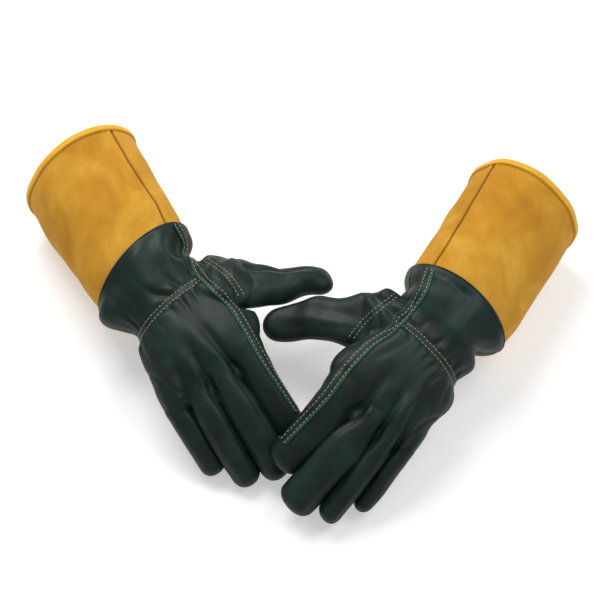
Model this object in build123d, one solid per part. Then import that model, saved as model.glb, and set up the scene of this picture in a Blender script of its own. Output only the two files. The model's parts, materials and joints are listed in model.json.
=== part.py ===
"""A pair of gauntlet gardening gloves: green leather hands with long suede cuffs.

Each glove is built in its own frame: the origin is the middle of the wrist, +Y runs to the fingertips,
+X points to the thumb side and +Z out of the back of the hand. The two gloves share every size. The
right glove is the mirror image of the left one, and each has its own pose on the floor.

Row frame: +X along the pair from the right glove to the left glove, +Y away from the fingertips, +Z up.
The origin is the middle of the pair's box, on the floor. Lengths are millimetres, angles are degrees.
"""
from build123d import *
import math
import os

os.makedirs("parts", exist_ok=True)

# Leather, thread and clearances
LEATHER = 2.0              # hand and sleeve leather, with its lining
SUEDE = 2.4                # cuff suede
THREAD_PROUD = 0.5         # how far a stitch row stands out of the leather
THREAD_WIDTH = 0.9
STITCH_SPACING = 5.0       # between the two rows of a double seam
JOINT_GAP = 1.0            # free space kept between two bodies at a joint
LEAD = 3.0                 # how far a digit's tube starts behind its hinge before it is trimmed
REACH = 400.0              # half-size of the blocks that cut the shells

WRIST_HINGE = -8.0         # the wrist bends just behind the gathered line

# The hand, in sections from the wrist to the roots of the fingers:
# (distance from the wrist, centre towards the thumb, centre height, half-width, half-height)
HAND_SECTIONS = [
    (WRIST_HINGE + JOINT_GAP / 2, 4, 1, 39.5, 25.5),
    (0, 5, 0, 38, 25),
    (25, 8, 0, 47, 27),
    (50, 9, 1, 51, 24),
    (80, 8, 3, 51.5, 15.5),
    (100, 3, -5, 48, 13.5),
]
# The sleeve and the cuff, in sections from the wrist to the rim
CUFF_SECTIONS = [
    (0, 5, 0, 38, 25),
    (-20, 3, 2, 46, 30),
    (-48, 1, 4, 52, 37),
    (-110, 0, 4, 55, 42),
    (-200, 0, 4, 59.8, 47.3),
]
PANEL_SEAM_HEIGHT = 1.5                         # back leather above, palm leather below
KNUCKLES = 80.0                                 # past here the seam follows the fingers down
KNUCKLE_SLOPE = 20.0
STRIP_LINE = [(36, -70), (33, 0), (43, 90)]     # raw edge of the palm leather on the back, as (x, y)

# The cuff's two curved edges, where the green leather meets the suede and at the rim, are arcs across
# the glove, seen from above. Each glove has its own, as (distance from the wrist, bulge, skew).
ARC_SPAN = 59.0            # half the width that a bulge is measured over
GUSSET_LINE = 41.0         # the suede gusset lies on the thumb side of this line
BINDING_WIDTH = 9.0
BINDING_PROUD = 1.2
RIM_STITCH_INSET = 3.0     # rim stitching, inwards from the binding

# Elastic sewn inside the wrist
ELASTIC_WIDTH = 8.0
ELASTIC_THICKNESS = 1.2
WRIST_SEAM = 3.0           # first wrist stitch row, from the wrist

# Fingers: start of the centre line under the knuckle, its length to the tip, the distance along it to
# the hinge, which is just past the crotch, and the half-width and half-height at the start
FINGERS = {
    "index": dict(base=(41, 72, 3), length=91, hinge=15, half_width=13.2, half_height=12),
    "middle": dict(base=(14, 78, 4), length=109, hinge=15, half_width=11.8, half_height=11.5),
    "ring": dict(base=(-11, 76, 3), length=102, hinge=18, half_width=11.2, half_height=11),
    "little": dict(base=(-34, 68, 1), length=85, hinge=24, half_width=10.2, half_height=10),
}
FINGER_TAPER = 0.88        # tip width over base width
FOURCHETTE_LINE = 0.66     # the side strips start at this part of the half-width
INDEX_STRIP_LINE = 0.2     # raw edge of the palm leather on the back of the index finger
CURL = 35.0                # finger hinge, towards the palm
STRAIGHTEN = 25.0          # finger hinge, towards the back
STOP_MARGIN = 2.0          # trim angle beyond each hinge limit

# Thumb
THUMB_LENGTH = 104.0
THUMB_HALF_HEIGHT = 14.0
THUMB_HALF_WIDTH = 20.0
THUMB_TAPER = 0.66
THUMB_FLARE = 0.35         # extra width at the root
FLARE_LENGTH = 30.0
THUMB_LEAD = 22.0
THUMB_HINGE = 27.0         # along the thumb's centre line, just past the crotch
THUMB_MOUTH = 47.0         # the plane where the thumb's root meets the hand
THUMB_MOUTH_Y = (-9.0, 42.0)
THUMB_CURL = 40.0
THUMB_STRAIGHTEN = 15.0
WRIST_BEND = 20.0

# Poses at rest, with each glove's origin, turn about the vertical, pitch and roll. The left index finger
# lies on the right glove's index and middle fingers, so stops gives the joints that it blocks one way.
GLOVES = {
    "right": dict(mirrored=True, origin=(-119, -14, 54), yaw=29, pitch=1, roll=14, cuff_pitch=5.5,
                  slope=(17, 42), spread=dict(index=3, middle=-2, ring=-1.5, little=0),
                  index_slope=(17, 42), thumb_base=(48, 5, 4), thumb_spread=66, thumb_slope=(20, 24),
                  thumb_twist=30, sleeve_arc=(46, 4, -17), rim_arc=(179, 3, -6),
                  stops=dict(index=(0, CURL), middle=(0, CURL))),
    "left": dict(mirrored=False, origin=(114, -56, 55), yaw=31, pitch=4.5, roll=20, cuff_pitch=8,
                 slope=(14, 31), spread=dict(index=10, middle=7.5, ring=2.5, little=2),
                 index_slope=(16, 38), thumb_base=(46, 4, 3), thumb_spread=62, thumb_slope=(26, 30),
                 thumb_twist=-10, sleeve_arc=(48, 5, -9), rim_arc=(184, 7, 0),
                 stops=dict(index=(-STRAIGHTEN, 0))),
}


# ------------------------------------------------------------------ cutting blocks

def carried(location, vector):
    """The vector after the location moves it."""
    return (location * Pos(vector)).position


def block(x=(-REACH, REACH), y=(-REACH, REACH), z=(-REACH, REACH)):
    """An upright block between the given limits."""
    size = (x[1] - x[0], y[1] - y[0], z[1] - z[0])
    middle = ((x[0] + x[1]) / 2, (y[0] + y[1]) / 2, (z[0] + z[1]) / 2)
    return Pos(*middle) * Box(*size)


def prism_along_x(outline):
    """A prism across the glove, from an outline of (y, z) points."""
    points = [(0, y, z) for y, z in outline]
    return extrude(make_face(Polyline(*points, close=True)), REACH, dir=(1, 0, 0), both=True)


def prism_along_z(outline):
    """An upright prism from an outline of (x, y) points."""
    return extrude(make_face(Polyline(*outline, close=True)), REACH, dir=(0, 0, 1), both=True)


def strip_side(offset=0.0):
    """Everything on the little-finger side of the palm leather's raw edge, moved over by offset."""
    edge = [(x + offset, y) for x, y in STRIP_LINE]
    return prism_along_z([(-REACH, edge[0][1] - REACH), (edge[0][0], edge[0][1] - REACH)] + edge
                         + [(edge[-1][0], REACH), (-REACH, REACH)])


def inside_arc(arc, inset=0.0):
    """Everything nearer to the fingers than an arc that bulges away from them, moved in by inset."""
    edge, bulge, skew = arc
    radius = (ARC_SPAN ** 2 + bulge ** 2) / (2 * bulge)
    centre = carried(Rot(Z=skew), Vector(0, radius, 0)) + Vector(0, inset - edge - bulge / 2, 0)
    return Pos(centre.X, centre.Y, 0) * Cylinder(radius, REACH)


# ------------------------------------------------------------------ shells

def oval(section, grow):
    distance, shift, height, half_width, half_height = section
    plane = Plane(origin=(shift, distance, height), x_dir=(1, 0, 0), z_dir=(0, 1, 0))
    return plane * Ellipse(half_width + grow, half_height + grow)


def beyond(section, neighbour, overshoot):
    """The section carried on in line with its neighbour, away from it, by overshoot."""
    part = overshoot / abs(section[0] - neighbour[0])
    return tuple(value + part * (value - other) for value, other in zip(section, neighbour))


def oval_solid(sections, grow, overshoot=0.0):
    """A solid lofted through oval sections, grown by grow and lengthened at both ends."""
    first = beyond(sections[0], sections[1], overshoot)
    last = beyond(sections[-1], sections[-2], overshoot)
    return loft([oval(section, grow) for section in [first] + sections[1:-1] + [last]], ruled=True)


def oval_tube(sections, outside, inside):
    """The wall between two offsets of the same oval tube."""
    return oval_solid(sections, outside) - oval_solid(sections, inside, overshoot=1.0)


def digit_point(digit, distance):
    """Where the digit's centre line is after a distance: forward, up, and its downward slope."""
    first, last = (math.radians(angle) for angle in digit["slope"])
    bend = (last - first) / digit["length"]
    slope = first + bend * distance
    forward = (math.sin(slope) - math.sin(first)) / bend
    up = (math.cos(slope) - math.cos(first)) / bend
    return forward, up, slope


def digit_section(digit, distance, scale, grow):
    forward, up, slope = digit_point(digit, distance)
    plane = Plane(origin=(0, forward, up), x_dir=(1, 0, 0),
                  z_dir=(0, math.cos(slope), -math.sin(slope)))
    flare = 1 + digit["flare"] * max(0, 1 - distance / FLARE_LENGTH) ** 2
    half_width = digit["half_width"] * scale * flare + grow
    half_height = digit["half_height"] * scale + grow
    return plane.location * Rot(Z=digit["twist"]) * Ellipse(half_width, half_height)


def digit_solid(digit, grow, overshoot=0.0):
    """A tapered, curved digit with a domed tip, in the digit's own frame, lengthened at its root."""
    length = digit["length"]
    dome = digit["half_width"] * digit["taper"]
    stations = [-digit["lead"] - overshoot, 0, 0.2 * length, 0.4 * length, 0.6 * length, length - dome]
    faces = []
    for distance in stations:
        scale = 1 - (1 - digit["taper"]) * max(0, distance) / length
        faces.append(digit_section(digit, distance, scale, grow))
    for part in (0.5, 0.8, 0.96):
        distance = length - dome + part * (dome + grow)
        roundness = math.sqrt(1 - part ** 2)
        grown = grow * roundness
        faces.append(digit_section(digit, distance, digit["taper"] * roundness, grown))
    return loft(faces, ruled=True)


def digit_wall(digit, outside, inside):
    """The wall between two offsets of the same digit."""
    return digit_solid(digit, outside) - digit_solid(digit, inside, overshoot=1.0)


def above_centre_line(digit):
    """Everything on the back side of the digit's curved centre line."""
    ends = (-digit["lead"] - 10, digit["length"] / 2, digit["length"] + 10)
    start, middle, end = (Vector(0, *digit_point(digit, distance)[:2]) for distance in ends)
    up = Vector(0, 0, REACH)
    outline = [ThreePointArc(start, middle, end), Line(end, end + up), Line(end + up, start + up),
               Line(start + up, start)]
    return extrude(make_face(outline), REACH, dir=(1, 0, 0), both=True)


def hinge_room(digit, dorsal, palmar):
    """The room ahead of a digit's hinge that stays free of the hand over the whole travel."""
    top = REACH * math.tan(math.radians(dorsal))
    bottom = REACH * math.tan(math.radians(palmar))
    gap = JOINT_GAP / 2
    wedge = prism_along_x([(gap, 0), (gap + top, REACH), (4 * REACH, REACH), (4 * REACH, -REACH),
                           (gap + bottom, -REACH)])
    forward, up, _ = digit_point(digit, digit["hinge"])
    return Pos(0, forward, up) * wedge


# ------------------------------------------------------------------ the pieces of one glove

def digit_of(glove, name):
    if name == "thumb":
        return dict(base=glove["thumb_base"], length=THUMB_LENGTH, half_width=THUMB_HALF_WIDTH,
                    half_height=THUMB_HALF_HEIGHT, taper=THUMB_TAPER, flare=THUMB_FLARE,
                    twist=glove["thumb_twist"], slope=glove["thumb_slope"], lead=THUMB_LEAD,
                    spread=glove["thumb_spread"], hinge=THUMB_HINGE)
    slope = glove["index_slope"] if name == "index" else glove["slope"]
    return dict(FINGERS[name], taper=FINGER_TAPER, flare=0.0, twist=0.0, slope=slope, lead=LEAD,
                spread=glove["spread"][name])


def digit_frame(digit):
    return Pos(*digit["base"]) * Rot(Z=-digit["spread"])


def finger_pieces(glove, name):
    """The leather pieces of one finger, in the glove's frame."""
    digit = digit_of(glove, name)
    room = hinge_room(digit, STRAIGHTEN + STOP_MARGIN, CURL + STOP_MARGIN)
    shell = digit_wall(digit, 0, -LEATHER) & room
    side = FOURCHETTE_LINE * digit["half_width"]
    thumb_side = block(x=(side, REACH))
    little_side = block(x=(-REACH, -side))
    back_side = above_centre_line(digit)
    if name == "index":
        sides = {"fourchette": little_side}
        back_limits = (-side, INDEX_STRIP_LINE * digit["half_width"])
    elif name == "little":
        sides = {"fourchette": thumb_side}
        back_limits = (-REACH, side)
    else:
        sides = {"fourchettes": thumb_side + little_side}
        back_limits = (-side, side)
    back_block = block(x=back_limits) & back_side
    pieces = {"back": shell & back_block, "palm": shell - back_block}
    for side_name, side_block in sides.items():
        pieces[side_name] = shell & side_block
        pieces["palm"] = pieces["palm"] - side_block
    if name == "index":
        skin = digit_wall(digit, THREAD_PROUD, 0) & room & back_side
        edge = back_limits[1] + THREAD_WIDTH
        rows = [block(x=(edge + row * STITCH_SPACING, edge + row * STITCH_SPACING + THREAD_WIDTH))
                for row in (0, 1)]
        pieces["stitch"] = skin & (rows[0] + rows[1])
    frame = digit_frame(digit)
    return {f"{name}_{piece}": frame * shape for piece, shape in pieces.items()}


def thumb_pieces(glove):
    """The thumb's two halves, its root in the hand, and its stitch rows."""
    digit = digit_of(glove, "thumb")
    frame = digit_frame(digit)
    room = frame * hinge_room(digit, THUMB_STRAIGHTEN + STOP_MARGIN, THUMB_CURL + STOP_MARGIN)
    forward = digit_point(digit, digit["hinge"])[0]
    root_room = (frame * block(y=(-REACH, forward - JOINT_GAP))) & block(
        x=(THUMB_MOUTH + JOINT_GAP / 2, REACH), y=(THUMB_MOUTH_Y[0], REACH))
    back_side = frame * above_centre_line(digit)
    shell = frame * digit_wall(digit, 0, -LEATHER)
    skin = (frame * digit_wall(digit, THREAD_PROUD, 0)) & root_room & back_side
    rows = stitch_pair(lambda low, high: block(x=(low, high)), THUMB_MOUTH + STITCH_SPACING)
    return {
        "thumb_back": shell & room & back_side,
        "thumb_palm": (shell & room) - back_side,
        "root_back": shell & root_room & back_side,
        "root_palm": (shell & root_room) - back_side,
        "root_stitch": skin & rows,
    }


def hand_pieces(glove):
    """The hand's panels, wrist elastic and stitch rows."""
    openings = []
    names = list(FINGERS)
    for place, name in enumerate(names):
        digit = digit_of(glove, name)
        low = -REACH if name == names[-1] else between(glove, names[place + 1], name)
        high = REACH if name == names[0] else between(glove, name, names[place - 1])
        lean = digit["half_width"] * abs(math.sin(math.radians(digit["spread"])))
        openings.append(block(x=(low, high), y=(pivot_of(glove, name).Y - JOINT_GAP - lean, REACH)))
    openings.append(block(x=(THUMB_MOUTH, REACH), y=(-REACH, THUMB_MOUTH_Y[1])))
    shell = oval_tube(HAND_SECTIONS, 0, -LEATHER)
    skin = oval_tube(HAND_SECTIONS, THREAD_PROUD, 0)
    for opening in openings:
        shell = shell - opening
        skin = skin - opening
    back_block = strip_side() & block(z=(PANEL_SEAM_HEIGHT, REACH))
    knuckle_block = strip_side() & block(y=(KNUCKLES, REACH)) & knuckle_side()
    back_block = (back_block & block(y=(-REACH, KNUCKLES))) + knuckle_block
    lining = oval_tube(HAND_SECTIONS, -LEATHER, -LEATHER - ELASTIC_THICKNESS)
    elastic = lining & block(x=(-REACH, STRIP_LINE[1][0]), y=(0, ELASTIC_WIDTH),
                             z=(PANEL_SEAM_HEIGHT, REACH))
    wrist_rows = stitch_pair(lambda low, high: block(y=(low, high)), WRIST_SEAM)
    strip_rows = stitch_pair(lambda low, high: strip_side(high) - strip_side(low), THREAD_WIDTH)
    upper_skin = skin & block(z=(PANEL_SEAM_HEIGHT, REACH))
    wrist_end = WRIST_SEAM + STITCH_SPACING + 2 * THREAD_WIDTH
    return {
        "back_panel": shell & back_block,
        "palm_panel": shell - back_block,
        "wrist_elastic": elastic,
        "wrist_stitch": upper_skin & strip_side() & wrist_rows,
        "strip_stitch": upper_skin & strip_rows & block(y=(wrist_end, REACH)),
    }


def knuckle_side():
    """Everything above the seam line where it slopes down past the knuckles."""
    drop = REACH * math.tan(math.radians(KNUCKLE_SLOPE))
    return prism_along_x([(KNUCKLES, PANEL_SEAM_HEIGHT), (KNUCKLES + REACH, PANEL_SEAM_HEIGHT - drop),
                          (KNUCKLES + REACH, REACH), (KNUCKLES, REACH)])


def pivot_of(glove, name):
    """The point on a digit's centre line that it turns about, in the glove's frame."""
    digit = digit_of(glove, name)
    forward, up, _ = digit_point(digit, digit["hinge"])
    return carried(digit_frame(digit), Vector(0, forward, up))


def between(glove, lower, upper):
    """The middle of the gap between two neighbouring fingers, across the hand."""
    low_edge = pivot_of(glove, lower).X + FINGERS[lower]["half_width"]
    high_edge = pivot_of(glove, upper).X - FINGERS[upper]["half_width"]
    return (low_edge + high_edge) / 2


def stitch_pair(row, first):
    """Two rows of thread, each made by row(low, high)."""
    second = first + STITCH_SPACING
    return row(first, first + THREAD_WIDTH) + row(second, second + THREAD_WIDTH)


def cuff_pieces(glove):
    """The green sleeve, the suede cuff, its binding and its stitch row."""
    angle = math.radians(WRIST_BEND + STOP_MARGIN)
    slant = REACH * math.tan(angle)
    gap = WRIST_HINGE - JOINT_GAP / 2
    room = prism_along_x([(gap, 0), (gap - slant, REACH), (-4 * REACH, REACH), (-4 * REACH, -REACH),
                          (gap - slant, -REACH)])
    bend = Rot(X=glove["cuff_pitch"])
    sleeve_edge = inside_arc(glove["sleeve_arc"])
    rim = inside_arc(glove["rim_arc"])
    binding_edge = inside_arc(glove["rim_arc"], BINDING_WIDTH)
    stitch_inset = BINDING_WIDTH + RIM_STITCH_INSET
    stitch_low = inside_arc(glove["rim_arc"], stitch_inset)
    stitch_high = inside_arc(glove["rim_arc"], stitch_inset + THREAD_WIDTH)

    sleeve = bend * (oval_tube(CUFF_SECTIONS, 0, -LEATHER) & sleeve_edge) & room
    back_block = strip_side() & (bend * block(z=(PANEL_SEAM_HEIGHT, REACH)))
    suede = (oval_tube(CUFF_SECTIONS, 0, -SUEDE) & binding_edge) - sleeve_edge
    gusset_block = block(x=(GUSSET_LINE, REACH))
    binding = oval_tube(CUFF_SECTIONS, BINDING_PROUD, -SUEDE - BINDING_PROUD) & rim
    skin = oval_tube(CUFF_SECTIONS, THREAD_PROUD, 0)
    return {
        "sleeve_back": sleeve & back_block,
        "sleeve_palm": sleeve - back_block,
        "cuff_main_panel": bend * (suede - gusset_block),
        "cuff_gusset": bend * (suede & gusset_block),
        "cuff_binding": bend * (binding - binding_edge),
        "cuff_stitch": bend * ((skin & stitch_low) - stitch_high),
    }


# ------------------------------------------------------------------ joints, for the record

def joints_of(glove):
    """Each joint as (body, pivot, axis, low, high), in the glove's frame."""
    found = [("cuff", Vector(0, WRIST_HINGE, 0), Vector(1, 0, 0), -WRIST_BEND, WRIST_BEND)]
    for name in ("thumb", *FINGERS):
        free = (-THUMB_STRAIGHTEN, THUMB_CURL) if name == "thumb" else (-STRAIGHTEN, CURL)
        low, high = glove["stops"].get(name, free)
        across = carried(Rot(Z=-digit_of(glove, name)["spread"]), Vector(-1, 0, 0))
        found.append((name, pivot_of(glove, name), across, low, high))
    return found


# ------------------------------------------------------------------ placing the gloves

def turn_of(glove):
    return Rot(Z=180 - glove["yaw"]) * Rot(X=-glove["pitch"]) * Rot(Y=-glove["roll"])


def place(shape, glove):
    turned = turn_of(glove) * shape
    if glove["mirrored"]:
        turned = mirror(turned, about=Plane.YZ)
    return Pos(*glove["origin"]) * turned


def place_direction(vector, glove):
    turned = carried(turn_of(glove), vector)
    return Vector(-turned.X, turned.Y, turned.Z) if glove["mirrored"] else turned


def place_point(point, glove):
    return place_direction(point, glove) + Vector(*glove["origin"])


def glove_pieces(glove):
    pieces = dict(hand_pieces(glove))
    pieces.update(cuff_pieces(glove))
    pieces.update(thumb_pieces(glove))
    for name in FINGERS:
        pieces.update(finger_pieces(glove, name))
    return {name: place(shape, glove) for name, shape in pieces.items()}


nodes = {}
for side, glove in GLOVES.items():
    for name, shape in glove_pieces(glove).items():
        nodes[f"{side}_{name}"] = shape

pair_box = Compound(children=[Compound(shape.solids()) for shape in nodes.values()]).bounding_box()
pair_centre = pair_box.center()
TO_ROW = Vector(-pair_centre.X, -pair_centre.Y, -pair_box.min.Z)

for name, shape in nodes.items():
    placed = Pos(TO_ROW) * shape
    export_step(Compound(placed.solids()), f"parts/{name}.step")
print("pair:", pair_box.size, "moved by", TO_ROW)
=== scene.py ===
"""Looks of a pair of gauntlet gardening gloves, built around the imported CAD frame.

Each glove is modelled in its own frame, in millimetres: the origin is the middle of the wrist, +Y runs
to the fingertips, +X points to the thumb side and +Z out of the back of the hand. to_row() takes points
from there to the row frame in metres; the glove frames themselves are worked out from the joints.
"""
import json
import math

import bpy
import numpy as np
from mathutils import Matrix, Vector
from mathutils.bvhtree import BVHTree


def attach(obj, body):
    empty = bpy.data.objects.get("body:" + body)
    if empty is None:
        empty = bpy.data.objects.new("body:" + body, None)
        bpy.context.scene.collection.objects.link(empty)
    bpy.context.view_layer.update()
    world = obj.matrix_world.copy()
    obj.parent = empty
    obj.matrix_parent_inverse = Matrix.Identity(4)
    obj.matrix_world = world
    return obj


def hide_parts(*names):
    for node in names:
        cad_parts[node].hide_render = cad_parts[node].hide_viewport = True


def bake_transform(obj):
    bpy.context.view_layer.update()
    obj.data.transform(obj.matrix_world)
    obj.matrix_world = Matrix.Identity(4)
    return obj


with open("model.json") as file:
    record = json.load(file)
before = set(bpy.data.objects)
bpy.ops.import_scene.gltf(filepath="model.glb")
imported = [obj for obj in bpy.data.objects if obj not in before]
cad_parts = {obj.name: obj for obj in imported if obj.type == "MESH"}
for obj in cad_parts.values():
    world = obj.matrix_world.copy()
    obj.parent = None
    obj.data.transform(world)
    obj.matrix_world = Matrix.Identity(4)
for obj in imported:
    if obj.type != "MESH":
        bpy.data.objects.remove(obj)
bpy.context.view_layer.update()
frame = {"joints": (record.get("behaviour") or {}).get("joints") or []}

JOINTS = {joint["name"]: joint for joint in frame["joints"]}
MM = 0.001

# ---------------------------------------------------------------- the glove's sizes, in millimetres

FINGERS = {
    "index": dict(base=(41, 72, 3), length=91, hinge=15, half_width=13.2, half_height=12),
    "middle": dict(base=(14, 78, 4), length=109, hinge=15, half_width=11.8, half_height=11.5),
    "ring": dict(base=(-11, 76, 3), length=102, hinge=18, half_width=11.2, half_height=11),
    "little": dict(base=(-34, 68, 1), length=85, hinge=24, half_width=10.2, half_height=10),
}
FINGER_TAPER = 0.88
FINGER_SPLIT = 6             # a finger's own piece starts this far behind its hinge
FINGER_BEND = (-5, 11)       # and bends over this stretch, counted from the hinge
FINGER_WIDEN = 0.07          # past the crotch a finger is this much wider, so that neighbours nearly touch
THUMB = dict(length=104, hinge=27, half_width=20, half_height=14)
THUMB_TAPER = 0.66
THUMB_SPLIT = 8
THUMB_BEND = (-7, 13)
THUMB_ROOM = 24              # half the width of the strip that holds the thumb
WRIST_HINGE = -8
SLEEVE_SPLIT = 9             # the sleeve's own piece starts this far behind the gathered line
SLEEVE_BEND = (10, 32)

# What differs between the two gloves. An arc is (distance, bulge, skew): the edge bows by its bulge over
# CUFF_ARC_SPAN and is turned by its skew in degrees. Slopes, spreads, twists and pitches are in degrees too.
#   seed: where the random draws start; each use adds a number of its own
#   widen: how much wider each finger is halfway along, on its (little finger's, thumb's) side
#   index_full: (how much, where) the hand is fuller at the index knuckle
#   little_tuck: how far the hand is drawn in above the little finger
#   thumb_full: (how much, from, to) the thumb is fuller on the side that looks back to the cuff
#   thumb_low: how much is taken off the thumb's other side
#   thumb_folds: (across, turn, depth, width) of the long folds on the thumb
#   sleeve_puff: how far the sleeve hangs over the wrist on the little finger's side
#   sleeve_fold, sleeve_in: (depth, where) of its fold on the thumb's side, and how far it is drawn in there
#   rim_tuck: how far the rim is drawn in on the thumb's side
#   creases: (start at a crotch, end towards the wrist, depth)
#   strip: the plan of the palm leather's raw edge up to the index finger; strip_share: where it runs on that
GLOVES = {
    "right": dict(
        seed=11, cuff_pitch=5.5, sleeve_arc=(45, 2, -17), rim_arc=(179, 3, -6), rim_tuck=0,
        slope=(17, 42), index_slope=(17, 42), spread=dict(index=3, middle=-2, ring=-1.5, little=0),
        widen=dict(index=(5, -2), middle=(1.5, 4), ring=(2, 1.5), little=(1, 2)),
        index_full=(8, 52), little_tuck=0,
        thumb_base=(48, 5, 4), thumb_spread=66, thumb_slope=(20, 24), thumb_twist=30, thumb_longer=5,
        thumb_full=(7, -34, 40), thumb_low=9, thumb_folds=[(7, 0.0, 2.2, 3.2), (-5, -0.08, 1.2, 4)],
        thumb_seam=[(52, -16), (59, 4), (62, 18), (62, 32)],
        sleeve_puff=4, sleeve_fold=(3, -36), sleeve_in=12,
        creases=[((27, 84), (19, 24), 3.6), ((1.5, 86), (5, 36), 3.0), ((-22.5, 88), (-10, 50), 2.4)],
        strip=[(45, -57), (42, -30), (39, -6), (42, 12), (48, 36), (49, 66)], strip_share=0.45),
    "left": dict(
        seed=29, cuff_pitch=8, sleeve_arc=(48, 5, -9), rim_arc=(184, 7, 0), rim_tuck=7,
        slope=(14, 31), index_slope=(16, 38), spread=dict(index=10, middle=7.5, ring=2.5, little=2),
        widen=dict(index=(6, 4), middle=(4.5, 6), ring=(2, 4.5), little=(0, 2.5)),
        index_full=(11, 68), little_tuck=10,
        thumb_base=(46, 4, 3), thumb_spread=62, thumb_slope=(26, 30), thumb_twist=-10, thumb_longer=6,
        thumb_full=(7, 4, 110), thumb_low=0, thumb_folds=[(4, 0.14, 1.6, 4.5), (-7, 0.05, 1.2, 4)],
        thumb_seam=[(50, -24), (57, -4), (62, 14), (63, 30)],
        sleeve_puff=-14, sleeve_fold=(7, -33), sleeve_in=0,
        creases=[((27, 85), (25, 34), 3.2), ((1.5, 87), (8, 30), 3.2), ((-22.5, 89), (-10, 44), 2.8)],
        strip=[(38, -54), (34, -30), (34, -8), (39, 14), (47, 36), (52, 62)], strip_share=0.7),
}
DIGITS = ("thumb", "index", "middle", "ring", "little")

# The hand and sleeve: (along, centre towards the thumb, centre height, half-width, half-height)
HAND_TABLE = [
    (-75, 0.6, 4, 54.6, 40.4), (-48, 1, 4, 53.4, 38.2), (-36, 1, 3.5, 52.6, 36.4),
    (-25, 1.2, 2.5, 50.4, 33.5), (-16, 2, 1.5, 46.5, 29.5), (-8, 3.5, 0.5, 41, 26.3),
    (0, 5, 0, 38, 24.5), (8, 6, 0, 40.5, 25), (25, 8, 0, 47, 25.5), (50, 8.5, 1, 50.5, 22),
    (64, 7, 2.5, 49.8, 18), (74, 5.5, 3, 47.5, 13), (79, 4.5, 2.5, 44, 9), (84, 4, 2, 38, 4),
]
HAND_STEP = 3.0
# The suede cuff in the same way, from the rim to under the sleeve
CUFF_TABLE = [
    (-200, -3, 4, 57.8, 47), (-110, -3.5, 4, 54.5, 42), (-48, 0, 4, 52, 37), (-24, 1.5, 3, 49.5, 33),
]
FINGER_ROOT = dict(start=-26, sunk=0.45)     # where a finger's tube starts, and how much narrower it is there
THUMB_ROOT = dict(start=-28, sunk=0.62, flare=0.5, flare_length=52)
WEB_RADIUS = 7.5             # the short tubes in the crotches, and their rings: (along, share of the radius)
WEB_RINGS = ((-12, 0.8), (-4, 1.0), (6, 1.0), (13, 0.95), (18, 0.7), (21, 0.3))
CUFF_BEND_LENGTH = 25        # the sleeve turns down by the cuff's pitch over this length behind the wrist
WRIST_X = 5                  # the middle of the wrist, towards the thumb
WRIST_LEAN = -0.22           # the gathered line runs across the wrist at this slant
CROTCH_LEAN = -0.12          # the crotches lie further forward towards the little finger

CUFF_ARC_SPAN = 59           # the arcs of the sleeve's end and of the rim are drawn over this half-width
HIDDEN_EDGE = 6              # the suede goes on under the sleeve by this much
HIDDEN_SINK = 3.5            # and lies this much deeper there
CUFF_RADIUS = 50.0           # about, to turn millimetres round the cuff into angles
PANEL_EDGE_STEPS = [0, 0.35, 0.8, 1.4, 2.2, 3.4, 5.0]     # the suede's points next to its side seams
GUSSET_LINE = 41             # the suede gusset lies on the thumb side of this line
GATHER_ROWS = (5, 10)        # the two stitch rows of the gathered line, from the line
STRIP_ROWS = (2.4, 7.2)      # the two stitch rows of the strip, from its raw edge
STRIP_STEPS = [0, 0.5, 1.4, 2.4, 3.6, 4.8, 6.0, 7.2, 8.4, 9.6, 10.8, 12]     # across it, from the raw edge
STRIP_HEIGHTS = [1.25, 1.45, 1.2, 0.75, 1.15, 1.3, 1.15, 0.7, 0.9, 0.8, 0.35, -0.6]   # over the leather
STRIP_EDGE = 1.9             # the height of the raw edge
STRIP_ON_INDEX = (24, 50, 76)      # the edge runs through these places along the index finger
WRIST_ROW_TURN = (27, 190)   # the gathered line's stitches run over this turn about the wrist, in degrees
RIM_STITCHES = 6.8           # the stitch row of the rim lies this far from the rim
THUMB_ROWS = 4.6             # the distance between the two rows of the thumb's root seam

# The thread dashes of each seam: step from one to the next, their length and radius
STITCHES = dict(strip=(3.9, 2.7, 0.42), wrist=(3.7, 2.6, 0.42), thumb=(3.7, 2.5, 0.38), rim=(3.1, 2.3, 0.34))
# A dash is a capsule with this many sides, and with rings at (part of the length, share of the radius)
CAPSULE_SIDES = 6
CAPSULE_RINGS = ((-0.5, 0.35), (-0.38, 0.9), (0.0, 1.0), (0.38, 0.9), (0.5, 0.35))

VOXEL = 1.5                  # the leather is remeshed at this size
FULL_RIDGE = 2.5             # the painted highlight is fullest where the leather stands out this much
WALL = 1.5
SUEDE_WALL = 2.0
STRIP_WALL = 0.5
LINE_STEP = 1.6              # the step along a seam's line

# The rim's binding tape: (beyond the rim, out of the suede)
BINDING_PROFILE = [
    (-5.6, 0.7), (-5.4, 1.4), (-4.2, 1.7), (-2.2, 1.75), (-0.4, 1.6), (0.8, 0.9), (1.3, 0.0),
    (1.4, -1.2), (0.9, -2.6), (-0.4, -3.5), (-2.2, -3.8), (-4.2, -3.7), (-5.4, -3.4), (-5.6, -2.6),
]

# ---------------------------------------------------------------- the view, in metres and degrees

AIM_FROM_WRISTS = (2.5, 35, -24.5)   # in mm: where the camera looks, from the middle between the two wrists
CAMERA = dict(elevation=60, distance=1.4, lens=93.33, sensor=36, shift=10 / 600)
LAMPS = (((-0.5, 0.9, 1.5), 0.9, 22), ((0.9, 0.2, 1.4), 0.8, 8))     # (place, size, power)
WORLD_LIGHT = 0.36
FLOOR_GLOW = 0.42
FLOOR_REACH = 6


# ---------------------------------------------------------------- small helpers

def smooth_step(value, low, high):
    t = np.clip((value - low) / (high - low), 0, 1)
    return t * t * (3 - 2 * t)


def bump(value, width):
    """A smooth hill of height 1 at zero."""
    return np.exp(-(value / width) ** 2)


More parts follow.
